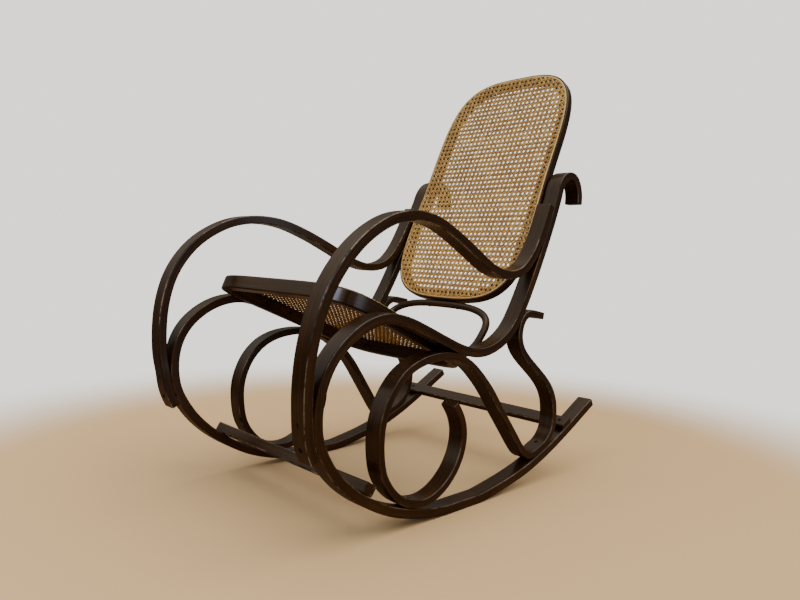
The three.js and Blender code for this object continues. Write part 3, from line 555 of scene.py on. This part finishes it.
def split_cane():
    """Peel of the rattan palm, split and woven by machine, gone golden brown with age. The eye
    gets narrow flat strands with a hard satin shine, each of its own tone and darkened at its
    foot by painted shade, with fibres along them."""
    material, tree = new_material("split_rattan_cane")
    grain = add(tree, "Attribute", {"attribute_name": "grain"}).outputs["Vector"]
    # the strand's own tone, darkened by painted shade at its foot
    tone = add(tree, "Attribute", {"attribute_name": "edge"}).outputs["Fac"]
    # Fibres about 0.6 mm wide and 30 mm long
    along = add(tree, "Mapping", {"Scale": (30, 1500, 1500)}, {"Vector": grain})
    fibres = add(tree, "TexNoise", {"Scale": 1, "Detail": 3, "Roughness": 0.6},
                 {"Vector": along.outputs[0]})
    # Lighter and darker lengths of palm, some 70 mm long
    lengths_of_palm = add(tree, "TexNoise", {"Scale": 14, "Detail": 2}, {"Vector": grain})
    strand_tone_and_shade = add(tree, "Mix", {"data_type": "FLOAT", 0: 0.3}, {
        2: tone, 3: fibres.outputs["Fac"],
    })
    mixed = add(tree, "Mix", {"data_type": "FLOAT", 0: 0.3}, {
        2: strand_tone_and_shade.outputs[0], 3: lengths_of_palm.outputs["Fac"],
    })
    # the darker stops also show the painted shade at the strands' feet
    straw = add(tree, "ValToRGB", {"stops": [
        (0.15, colour("#402709")), (0.35, colour("#805a21")),
        (0.55, colour("#b0853c")), (0.8, colour("#d6b26b")),
    ]}, {"Fac": mixed.outputs[0]})
    bump = add(tree, "Bump", {"Strength": 0.2, "Distance": 0.0002},
               {"Height": fibres.outputs["Fac"]})
    surface = add(tree, "BsdfPrincipled", {"IOR": 1.5, "Roughness": 0.4}, {
        "Base Color": straw.outputs["Color"], "Normal": bump.outputs[0],
    })
    add(tree, "OutputMaterial", None, {0: surface.outputs[0]})
    return material


def reed_spline():
    """Core of the rattan palm, hammered into the groove. The eye gets a matt cord of long
    fibres, a little lighter than the cane."""
    material, tree = new_material("rattan_core_reed")
    grain = add(tree, "Attribute", {"attribute_name": "grain"}).outputs["Vector"]
    # Fibres about 0.5 mm wide and 40 mm long
    along = add(tree, "Mapping", {"Scale": (25, 1800, 1800)}, {"Vector": grain})
    fibres = add(tree, "TexNoise", {"Scale": 1, "Detail": 4, "Roughness": 0.65},
                 {"Vector": along.outputs[0]})
    reed = add(tree, "ValToRGB", {"stops": [
        (0.3, colour("#b08a4c")), (0.5, colour("#d2ac68")), (0.7, colour("#e6c78a")),
    ]}, {"Fac": fibres.outputs["Fac"]})
    bump = add(tree, "Bump", {"Strength": 0.3, "Distance": 0.0003},
               {"Height": fibres.outputs["Fac"]})
    surface = add(tree, "BsdfPrincipled", {"IOR": 1.5, "Roughness": 0.5}, {
        "Base Color": reed.outputs["Color"], "Normal": bump.outputs[0],
    })
    add(tree, "OutputMaterial", None, {0: surface.outputs[0]})
    return material


def aged_steel():
    """Turned and blued screw steel, browned by age. The eye gets small dark discs, dull in
    spots."""
    material, tree = new_material("aged_blued_steel")
    place = add(tree, "TexCoord").outputs["Object"]
    # Spots about 1 mm wide
    spots = add(tree, "TexNoise", {"Scale": 900, "Detail": 3, "Roughness": 0.6}, {"Vector": place})
    steel = add(tree, "ValToRGB", {"stops": [
        (0.35, colour("#0f0a07")), (0.55, colour("#1d1712")), (0.75, colour("#2f2923")),
    ]}, {"Fac": spots.outputs["Fac"]})
    rough = add(tree, "MapRange", {1: 0.3, 2: 0.7, 3: 0.35, 4: 0.6},
                {0: spots.outputs["Fac"]})
    surface = add(tree, "BsdfPrincipled", {"Metallic": 0.85}, {
        "Base Color": steel.outputs["Color"], "Roughness": rough.outputs[0],
    })
    add(tree, "OutputMaterial", None, {0: surface.outputs[0]})
    return material


wood = stained_beech()
cane = split_cane()
reed = reed_spline()
steel = aged_steel()

# Bent strips

def section(width_from, width_to, low, high, edge):
    """A rectangle with its four edges rounded."""
    corners = [(width_from, low), (width_to, low), (width_to, high), (width_from, high)]
    return rounded(corners, [edge] * 4)


# Each strip's grain starts at a place of its own, in metres along the wood
for strip, path, thickness, start in (
    ("main_bow", bow_fine, BOW_THICKNESS, 0.0),
    ("arm_bow", arm_fine, ARM_THICKNESS, 7.3),
    ("scroll", scroll_fine, SCROLL_THICKNESS, 13.1),
):
    path = evenly(path, PATH_STEP)
    sideways = np.repeat([[1.0, 0, 0]], len(path), 0)
    profile = section(-STRIP_WIDTH, 0, -thickness / 2, thickness / 2, STRIP_EDGE)
    points, *rest, near = swept(path, sideways, side_normals(path), *profile, END_EDGE)
    near = near + (0 if strip == "arm_bow" else LESS_EDGE_LINE)
    for side, flip, further in (("left", 1, 0), ("right", ACROSS_CHAIR, 31.7)):
        node = f"{strip}_{side}"
        shape = points * flip, *rest, near
        piece(f"{node}_wood", shape, wood, [node], start + further)

# Crossbars

screws = []  # name, place of the head, direction out of it


def crossbar(name, share, width, thickness):
    """A straight bar across the rockers' inner faces, its ends flush with their outer faces."""
    middle, normal = on_bow(share)
    along = np.array([0, normal[2], -normal[1]])
    reach = BOW_THICKNESS / 2 + CLEARANCE
    foot = middle * np.array([0, 1, 1]) - normal * reach
    for _ in range(6):
        gaps = [nearest(bow_fine, foot + along * half)[0] for half in (-width / 2, width / 2)]
        foot = foot + normal * (min(gaps) - reach)
    half_span = middle[0] + STRIP_WIDTH / 2
    places = np.linspace(-half_span, half_span, BAR_SECTIONS)[:, None]
    path = foot + places * np.array([1.0, 0, 0])
    across, up = (np.repeat(axis[None], BAR_SECTIONS, 0) for axis in (along, -normal))
    profile = section(-width / 2, width / 2, 0, thickness, STRIP_EDGE)
    shape = swept(path, across, up, *profile, BAR_END_EDGE)
    piece(f"{name}_wood", shape, wood, [name], 3.1 + share)
    head = foot - normal * thickness
    head[0] = middle[0]
    screws.append((f"{name}_screw", head, -normal))


crossbar("front_crossbar", *FRONT_BAR)
crossbar("rear_crossbar", *REAR_BAR)

# Rings

def plane_at(centre, along):
    """A tilted plane: its origin, and its axes across, along and up as the rows of a matrix."""
    across = np.array([1.0, 0, 0])
    return np.asarray(centre, float), np.stack([across, along, np.cross(across, along)])


def in_plane(plane, x, s, h):
    """A place in a tilted plane, x across, s along and h above it."""
    return plane[0] + np.array([x, s, h]) @ plane[1]


def in_middle(rearward, up):
    """A place in the chair's middle plane, from shares of its length and height."""
    return np.array([0, rearward * SIDE_LENGTH + FLOOR_POINT, up * SIDE_HEIGHT])


def form(share, exponent, flare):
    """Half-width of a squared oval at a share y of its half-length, over its largest:
    (1 - |y|^n)^(1/n), flared by 1 + f y + g y^2."""
    flared = 1 + flare[0] * share + flare[1] * share * share
    return (1 - abs(share) ** exponent) ** (1 / exponent) * flared


def outline(half_width, half_length, exponent, flare, step=RING_STEP):
    """A squared oval: |x/a|^n + |y/b|^n = 1 seen from its middle, with its width flared along y."""
    angle = np.linspace(0, 2 * math.pi, OUTLINE_POINTS + 1)[:-1]
    c, s = np.cos(angle), np.sin(angle)
    radius = (np.abs(c) ** exponent + np.abs(s) ** exponent) ** (-1 / exponent)
    along = radius * s
    across = radius * c * (1 + flare[0] * along + flare[1] * along * along)
    return evenly(np.stack([across * half_width, along * half_length], 1), step, closed=True)


def inward(loop):
    """Directions inwards at every point of a closed outline that runs anticlockwise."""
    ahead = unit(np.roll(loop, -1, 0) - np.roll(loop, 1, 0))
    return np.stack([-ahead[:, 1], ahead[:, 0]], 1)


def ring(loop, plane, profile):
    """A profile carried round a closed outline in a tilted plane: inwards, and up out of it."""
    loop_in = inward(loop) @ plane[1][:2]
    up = np.repeat(plane[1][2:], len(loop), 0)
    near = np.full(len(profile), FAR_FROM_EDGE)
    return swept(plane[0] + loop @ plane[1][:2], loop_in, up, profile, near)


def beside(plane, half_length, exponent, flare, window, depth):
    """Half-width of the widest ring that passes between the strips on both sides of it."""
    widths = []
    for share in np.linspace(*window, 25):
        for height in (0, depth):
            outer = nearest(bow_fine, in_plane(plane, 0, share * half_length, height))[1][0]
            widths.append((outer - STRIP_WIDTH - CLEARANCE) / form(share, exponent, flare))
    return min(widths)


seat_axis = np.array([0, math.cos(SEAT_TILT), -math.sin(SEAT_TILT)])
seat_plane = plane_at(in_middle(*SEAT_CENTRE), seat_axis)
seat_form = (SEAT_HALF_LENGTH, SEAT_EXPONENT, SEAT_FLARE)
seat_outline = outline(beside(seat_plane, *seat_form, SEAT_BESIDE, SEAT_HEIGHT), *seat_form)

back_axis = np.array([0, math.sin(BACK_RAKE), math.cos(BACK_RAKE)])
back_front = plane_at(in_middle(*BACK_CENTRE), back_axis)
back_plane = plane_at(in_plane(back_front, 0, 0, -BACK_DEPTH), back_axis)
back_form = (BACK_HALF_HEIGHT, BACK_EXPONENT, BACK_FLARE)
back_outline = outline(beside(back_plane, *back_form, BACK_BESIDE, BACK_DEPTH), *back_form)


def ring_profile(wall, height):
    """The ring's section with the cane's groove in its upper face."""
    floor = height - GROOVE_DEPTH
    corners = [(0, 0), (wall, 0), (wall, height), (GROOVE_END, height), (GROOVE_END, floor),
               (GROOVE_INSET, floor), (GROOVE_INSET, height), (0, height)]
    return rounded(corners, [RING_EDGE, RING_EDGE, RING_EDGE, 0, 0, 0, 0, RING_EDGE])[0]


def reed_profile(height):
    """The spline's section: flat sides in the groove and a rounded crown above it."""
    left = GROOVE_INSET + CLEARANCE
    bottom = height - GROOVE_DEPTH + CLEARANCE
    shoulder = bottom + SPLINE_HEIGHT - SPLINE_WIDTH / 2
    angles = np.linspace(0, math.pi, 9)
    crown = SPLINE_WIDTH / 2 * np.stack([1 + np.cos(angles), np.sin(angles)], 1) + (left, shoulder)
    return np.vstack([[(left, bottom), (left + SPLINE_WIDTH, bottom)], crown])


# Cane

def chord(loop, origin, direction):
    """Where a straight line enters and leaves a closed outline, as distances along it, or None."""
    side = np.array([-direction[1], direction[0]])
    across, along = (loop - origin) @ side, (loop - origin) @ direction
    after, after_along = np.roll(across, -1), np.roll(along, -1)
    crossing = (across > 0) != (after > 0)
    if not crossing.any():
        return None
    part = across[crossing] / (across[crossing] - after[crossing])
    hits = along[crossing] + part * (after_along[crossing] - along[crossing])
    return hits.min(), hits.max()


def strand(start, end, origin, direction, width, lift, marks):
    """One strand of cane: a flat underside and a low crown, carried along a straight line.

    It is sampled at the marks along it, and `lift` gives its height there.
    """
    clear = 0.001  # marks nearer to an end are left out
    inside = (marks > start + clear) & (marks < end - clear)
    places = np.concatenate([[start], marks[inside], [end]])
    side = np.array([-direction[1], direction[0]])
    profile = np.array([(-0.5, 0), (0.5, 0), (CANE_SHOULDER, 1), (-CANE_SHOULDER, 1)])
    height = lift(places)
    height[[0, -1]] = STRAND_END
    flat = (origin + places[:, None] * direction)[:, None] + side * (profile[None, :, :1] * width)
    up = height[:, None] + profile[None, :, 1] * CANE_CROWN
    points = np.concatenate([flat, up[..., None]], 2)
    grain = np.concatenate([
        np.broadcast_to(places[:, None, None], (len(places), 4, 1)),
        np.broadcast_to(profile * (width, CANE_CROWN), (len(places), 4, 2)),
    ], 2)
    last = 4 * (len(places) - 1)
    ends = [[3, 2, 1, 0], [last, last + 1, last + 2, last + 3]]
    faces = np.vstack([between_rows(len(places), 4, False), ends])
    return points.reshape(-1, 3), faces, grain.reshape(-1, 3)


def weave(loop, plane, height, sag, strands, wider, seed):
    """The given strands inside a closed outline, `wider` times their width, on a shallow dish.

    The dish is sag * (1 - x^2) * (1 - y^2) deep, with x and y as shares of the outline's
    half-sizes. Below zero it arches up. Every strand has a tone of its own, and painted shade
    darkens its foot.
    """
    rng = np.random.default_rng(seed)
    reach = np.abs(loop).max(0)
    # painted shade: the two foot corners of every strand are darkened
    painted_shade_at_foot = np.array([PAINTED_FOOT_SHADE, PAINTED_FOOT_SHADE, 1, 1])
    points, faces, grain, near, total = [], [], [], [], 0
    for origin, direction, width, lift, marks in strands(reach):
        ends = chord(loop, origin, direction)
        if ends is None or ends[1] - ends[0] < SHORTEST:
            continue
        made, made_faces, made_grain = strand(*ends, origin, direction, width * wider, lift, marks)
        points.append(made)
        faces.append(made_faces + total)
        grain.append(made_grain + np.array([rng.uniform(0, 40), 0, 0]))
        # each strand's own tone, times the painted shade at its foot
        tone = rng.uniform(0.15, 1) * painted_shade_at_foot
        near.append(np.tile(-EDGE_FADE * np.log(tone), len(made) // 4))
        total += len(made)
    points = np.vstack(points)
    share = points[:, :2] / reach
    dish = np.clip((1 - share[:, 0] ** 2) * (1 - share[:, 1] ** 2), 0, 1)
    points[:, 2] += height + NET_LIFT - sag * dish
    points = plane[0] + points @ plane[1]
    none = np.zeros((0, 3), int)
    return points, np.vstack(faces), none, np.vstack(grain), np.concatenate(near)


def wave(place):
    """How a paired strand rises and dips at the pairs that it crosses: WAVE times
    sin t + sin(2 t) / 2, with a whole turn of t for every mesh."""
    turn = 2 * math.pi * place / MESH
    return WAVE * (np.sin(turn) + 0.5 * np.sin(2 * turn))


def pairs(reach):
    """Pairs of strands up and across the panel, one strand either side of every mesh line,
    woven over and under each other."""
    within = np.array([-PAIR_GAP, PAIR_GAP, MESH / 4, MESH / 2, 3 * MESH / 4])
    for axis, over in ((0, 1), (1, -1)):
        across, along = (math.ceil(reach[k] / MESH) for k in (axis, 1 - axis))
        marks = np.sort((np.arange(-along, along + 1)[:, None] * MESH + within).ravel())
        offset, direction = np.eye(2)[axis], np.eye(2)[1 - axis]
        for line in np.arange(-across, across + 1) * MESH:
            for sign in (-1, 1):
                yield (offset * (line + sign * PAIR_GAP), direction, STRAND,
                       lambda place, lift=sign * over: lift * wave(place), marks)


def binders(reach):
    """Single strands at 45 degrees both ways, halfway between the crossings of the pairs, one way
    over the level pairs and the other over the upright ones: BINDER_WAVE * cos t."""
    diagonal = math.sqrt(0.5)
    turn = 2 * math.pi * diagonal / MESH
    count = math.ceil((reach[0] + reach[1]) / MESH)
    marks = np.arange(-count * 4, count * 4 + 1) * MESH / 4 / diagonal
    for k in range(-count, count):
        for sign in (1, -1):
            yield (np.array([0, (k + 0.5) * MESH]), np.array([diagonal, sign * diagonal]), BINDER,
                   lambda place, lift=-sign * BINDER_WAVE: lift * np.cos(turn * place), marks)


for name, loop, plane, wall, height, sag, wider, seed in (
    ("seat", seat_outline, seat_plane, SEAT_WALL, SEAT_HEIGHT, SEAT_SAG, SEAT_WIDER, 11),
    ("back", back_outline, back_plane, BACK_WALL, BACK_DEPTH, BACK_SAG, BACK_WIDER, 23),
):
    shape = ring(loop, plane, ring_profile(wall, height))
    piece(f"{name}_ring_wood", shape, wood, [f"{name}_ring"], seed * 2.3)
    shape = ring(loop, plane, reed_profile(height))
    piece(f"{name}_spline_reed", shape, reed, [f"{name}_spline"], seed * 1.7)
    edge = loop + inward(loop) * NET_INSET
    for part, strands in (("strands", pairs), ("binders", binders)):
        shape = weave(edge, plane, height, sag, strands, wider, seed + len(part))
        piece(f"{name}_cane_{part}", shape, cane, [f"{name}_cane"])

# Hoop

hoop_reach = HOOP_RADIUS + CLEARANCE
hoop_foot = in_plane(seat_plane, 0, SEAT_HALF_LENGTH + hoop_reach, HOOP_FOOT * SEAT_HEIGHT)
hoop_head = in_plane(back_plane, 0, -BACK_HALF_HEIGHT - hoop_reach, HOOP_HEAD * BACK_DEPTH)
hoop_rise = hoop_head - hoop_foot
hoop_plane = plane_at((hoop_foot + hoop_head) / 2, unit(hoop_rise))
hoop_half = np.linalg.norm(hoop_rise) / 2
hoop_outline = outline(HOOP_HALF_WIDTH, hoop_half, HOOP_EXPONENT, (0, 0), HOOP_STEP)
hoop_angles = np.linspace(0, 2 * math.pi, HOOP_SIDES + 1)[:-1]
hoop_section = HOOP_RADIUS * np.stack([np.cos(hoop_angles), np.sin(hoop_angles)], 1)
shape = ring(hoop_outline, hoop_plane, hoop_section)
piece("back_hoop_wood", shape, wood, ["back_hoop"], 5.9)

# Screws

for k, share in enumerate(FOOT_SCREWS):
    middle, normal = on_bow(share)
    head = middle + normal * (BOW_THICKNESS / 2 + CLEARANCE + ARM_THICKNESS)
    screws.append((f"arm_foot_screw_{k + 1}", head, normal))
middle, normal = on_bow(END_SCREW)
screws.append(("arm_end_screw", middle - normal * BOW_THICKNESS / 2, -normal))
for name, touch, away in scroll_contacts:
    screws.append((name, touch - HALF_STRIP + away * SCROLL_THICKNESS / 2, away))


def ring_screws(name, loop, plane, half_length, wall, depth, shares):
    """Screws from the ring's inner wall into the strip beside it."""
    for k, share in enumerate(shares):
        middle = in_plane(plane, 0, share * half_length, depth / 2)
        head = (middle + nearest(bow_fine, middle)[1]) / 2
        level = ((head - plane[0]) @ plane[1].T)[1]
        inner = loop + inward(loop) * wall
        right = inner[inner[:, 0] > 0]
        head[0] = right[np.abs(right[:, 1] - level).argmin(), 0]
        screws.append((f"{name}_{k + 1}", head, np.array([-1.0, 0, 0])))


ring_screws("seat_ring_screw", seat_outline, seat_plane, SEAT_HALF_LENGTH,
            SEAT_WALL, SEAT_HEIGHT, SEAT_SCREWS)
ring_screws("back_ring_screw", back_outline, back_plane, BACK_HALF_HEIGHT,
            BACK_WALL, BACK_DEPTH, BACK_SCREWS)
hoop_x = np.array([HOOP_SCREW * HOOP_HALF_WIDTH, 0, 0])
for name, end, out in (
    ("hoop_foot_screw", hoop_foot, seat_plane[1][1]),
    ("hoop_head_screw", hoop_head, -back_plane[1][1]),
):
    screws.append((name, end + hoop_x + out * HOOP_RADIUS, out))


def screw_shape(head, out):
    """A raised countersunk head with a slot, and its cone down into the wood.

    The head is a disc of straight rows, x = r u sqrt(1 - v^2) and y = r v, domed by
    1 - (x^2 + y^2) / r^2, with the middle rows sunk.
    """
    half = np.array([SLOT - 0.001, SLOT, 0.45, 0.7, 0.9, 1])
    v = np.concatenate([-half[::-1], half])[:, None]
    u = np.linspace(-1, 1, 9)[None]
    x = SCREW_RADIUS * np.sqrt(1 - v**2) * u
    y = np.broadcast_to(SCREW_RADIUS * v, x.shape)
    dome = 1 - (x**2 + y**2) / SCREW_RADIUS**2
    z = SCREW_PROUD + SCREW_DOME * dome - SLOT_DEPTH * (np.abs(v) < SLOT)
    rows, columns = x.shape
    top = np.stack([x, y, z], 2).reshape(-1, 3)
    r, c = np.arange(rows - 1)[:, None] * columns, np.arange(columns - 1)[None]
    cells = np.stack([r + c, r + c + 1, r + c + columns + 1, r + c + columns], -1).reshape(-1, 4)
    right = np.arange(columns - 1, rows * columns, columns)
    left = np.arange((rows - 1) * columns, -1, -columns)
    rim = np.concatenate([right, left])
    bottom = np.array([0, 0, -SCREW_SINK])
    low = top[rim] * np.array([SCREW_TAPER, SCREW_TAPER, 0]) + bottom
    local = np.vstack([top, low, bottom])
    j = np.arange(len(rim))
    k = (j + 1) % len(rim)
    cone = np.stack([rim[j], len(top) + j, len(top) + k, rim[k]], 1)
    tip = np.stack([len(top) + j, np.full(len(rim), len(local) - 1), len(top) + k], 1)
    side = unit(np.cross(out, [0.3, 0.5, 0.8]))
    points = head + local @ np.stack([side, np.cross(out, side), out])
    return points, np.vstack([cells, cone]), tip, local, np.full(len(local), FAR_FROM_EDGE)


for name, head, out in screws:
    for side, flip in (("left", 1), ("right", ACROSS_CHAIR)):
        node = f"{name}_{side}"
        piece(f"{node}_steel", screw_shape(head * flip, out * flip), steel, [node])

# Floor, light and camera

AZIMUTH, ELEVATION, ROLL = (math.radians(a) for a in (46.805, 4.468, -1.202))
FOCAL_PIXELS = 683.6
FRAME_WIDTH = 800
SENSOR = 36
CAMERA_PLACE = (1.0881, -1.00395, 0.4998)
FLOOR_HALF = 1.6
AHEAD = np.array([-math.sin(AZIMUTH), math.cos(AZIMUTH), 0])
RIGHT = np.array([math.cos(AZIMUTH), math.sin(AZIMUTH), 0])

floor_mesh = bpy.data.meshes.new("floor")
floor_corners = FLOOR_HALF * np.array([(-1, -1, 0), (1, -1, 0), (1, 1, 0), (-1, 1, 0)])
floor_mesh.from_pydata(floor_corners.tolist(), [], [(0, 1, 2, 3)])
floor = put_in_scene("floor", floor_mesh)
floor_material, floor_tree = new_material("pale_floor")
place = add(floor_tree, "TexCoord").outputs["Object"]
# The floor fades into the pale room from 0.85 to 1.5 m away from the chair's middle
away = add(floor_tree, "VectorMath", {"operation": "LENGTH"}, {0: place})
faded = add(floor_tree, "MapRange", {
    "interpolation_type": "SMOOTHSTEP", 1: 0.85, 2: 1.5, 3: 1.0, 4: 0.0,
}, {0: away.outputs["Value"]})
# In the chair's polish it shows as a darker floor, so that the stain stays deep
mirrored = add(floor_tree, "LightPath").outputs["Is Glossy Ray"]
tint = add(floor_tree, "Mix", {
    "data_type": "RGBA", 6: colour("#cfae80"), 7: colour("#6a4a2a"),
}, {0: mirrored})
floor_surface = add(floor_tree, "BsdfPrincipled", {"Roughness": 0.7}, {
    "Base Color": tint.outputs[2], "Alpha": faded.outputs[0],
})
add(floor_tree, "OutputMaterial", None, {0: floor_surface.outputs[0]})
floor_mesh.materials.append(floor_material)

# The room: a dim wall behind the chair, one on the camera's right, a ceiling that is bright
# towards the front, and little light elsewhere. The camera sees a plain pale wall all round.
world = bpy.data.worlds.new("studio")
world.use_nodes = True
bpy.context.scene.world = world
room = world.node_tree
room.nodes.clear()
direction = add(room, "TexCoord").outputs["Generated"]
surfaces = []
for towards, begins, full, dim, bright in (
    ((-0.68, 0.72, 0.14), 0.3, 0.85, 0.05, 0.2),  # the wall behind
    ((0.97, 0.2, 0.1), 0.5, 0.95, 0.0, 0.25),  # the wall beside
    ((-0.1, -0.4, 0.91), 0.34, 0.72, 0.0, 0.9),  # the ceiling
):
    facing = add(room, "VectorMath", {"operation": "DOT_PRODUCT", 1: towards}, {0: direction})
    glow = add(room, "MapRange", {1: begins, 2: full, 3: dim, 4: bright}, {0: facing.outputs[1]})
    surfaces.append(glow.outputs[0])
walls = add(room, "Math", {"operation": "ADD"}, {0: surfaces[0], 1: surfaces[1]})
all_light = add(room, "Math", {"operation": "ADD"}, {0: walls.outputs[0], 1: surfaces[2]})
lit = add(room, "Background", {"Color": colour("#f8eedb")}, {"Strength": all_light.outputs[0]})
seen = add(room, "Background", {"Color": colour("#f7f5ee"), "Strength": 1.7})
sight = add(room, "LightPath").outputs["Is Camera Ray"]
both = add(room, "MixShader", None, {0: sight, 1: lit.outputs[0], 2: seen.outputs[0]})
add(room, "OutputWorld", None, {0: both.outputs[0]})


def light(name, kind, place, target, settings, tint):
    """A light at a place that faces its target."""
    data = bpy.data.lights.new(name, kind)
    for key, value in settings.items():
        setattr(data, key, value)
    data.color = colour(tint)[:3]
    obj = put_in_scene(name, data)
    back = unit(np.array(place, float) - np.array(target, float))
    right = unit(np.cross([0, 1, 0] if abs(back[2]) > 0.9 else [0, 0, 1], back))
    matrix = np.eye(4)
    matrix[:3, :3], matrix[:3, 3] = np.stack([right, np.cross(back, right), back], 1), place
    obj.matrix_world = Matrix(matrix.tolist())


chair_middle = (0, 0, 0.42)
light("front_window", "AREA", (0.1, -3.3, 2.65), chair_middle,
      {"shape": "RECTANGLE", "size": 1.3, "size_y": 1.3, "energy": 58}, "#dbe6fc")
light("side_window", "AREA", (3.6, 0.1, 1.35), chair_middle,
      {"shape": "RECTANGLE", "size": 1.9, "size_y": 1.3, "energy": 22}, "#dbe6fc")
light("skylight", "SUN", (1.2, 1.0, 4), chair_middle,
      {"energy": 2.4, "angle": math.radians(70)}, "#fff6ea")

forward = AHEAD * math.cos(ELEVATION) - np.array([0, 0, math.sin(ELEVATION)])
down = np.cross(forward, RIGHT)
level_right = RIGHT * math.cos(ROLL) + down * math.sin(ROLL)
level_down = down * math.cos(ROLL) - RIGHT * math.sin(ROLL)
camera_data = bpy.data.cameras.new("camera")
camera_data.sensor_width = SENSOR
camera_data.lens = SENSOR * FOCAL_PIXELS / FRAME_WIDTH
camera = put_in_scene("camera", camera_data)
camera_matrix = np.eye(4)
camera_matrix[:3, :3] = np.stack([level_right, -level_down, -forward], 1)
camera_matrix[:3, 3] = CAMERA_PLACE
camera.matrix_world = Matrix(camera_matrix.tolist())
bpy.context.scene.camera = camera
